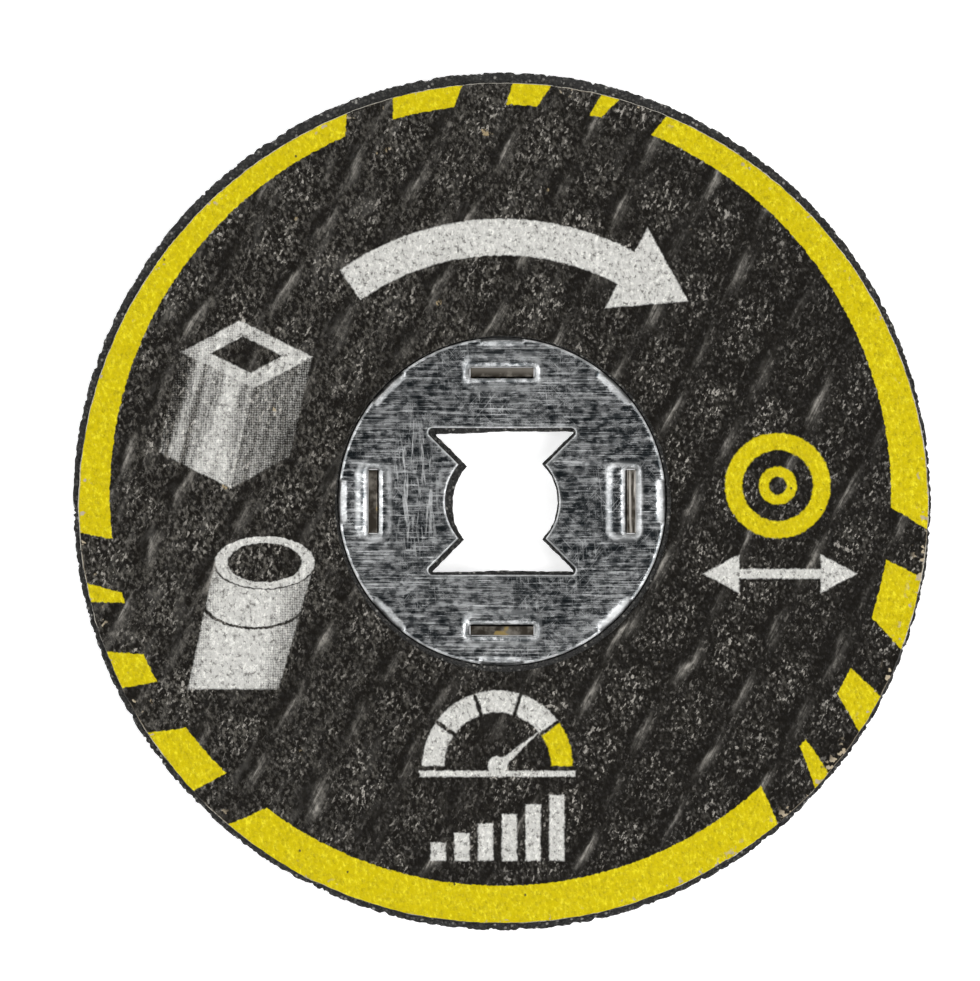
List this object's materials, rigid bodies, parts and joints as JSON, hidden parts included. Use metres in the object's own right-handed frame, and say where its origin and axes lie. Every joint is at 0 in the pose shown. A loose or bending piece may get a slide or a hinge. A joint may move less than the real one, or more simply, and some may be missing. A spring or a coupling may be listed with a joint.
{
  "type": "cut-off wheel",
  "caption": "Thin round abrasive cut-off wheel with a printed paper label and a two-plate steel hub, whose bow-tie hole locks onto the quick-change mandrel of a rotary tool.",
  "frame": {"origin": "on the spin axis at the outer face of the rear hub plate, which is the lowest face of the wheel as it lies", "axes": "+Z along the spin axis, out of the labelled front face; +Y along the long axis of the bow-tie hole; +X across it"},
  "size_m": [0.038, 0.038, 0.0015],
  "materials": {
    "bonded_abrasive": "coarse dark grit in a resin bond",
    "printed_paper": "black printed paper pressed onto the grit, with a broken yellow rim stripe",
    "hub_steel": "bare stamped sheet steel with fine scratches"
  },
  "bodies": {
    "root": {"abrasive_disc": "bonded_abrasive", "paper_label": "printed_paper", "front_hub_plate": "hub_steel", "rear_hub_plate": "hub_steel"}
  },
  "joints": []
}
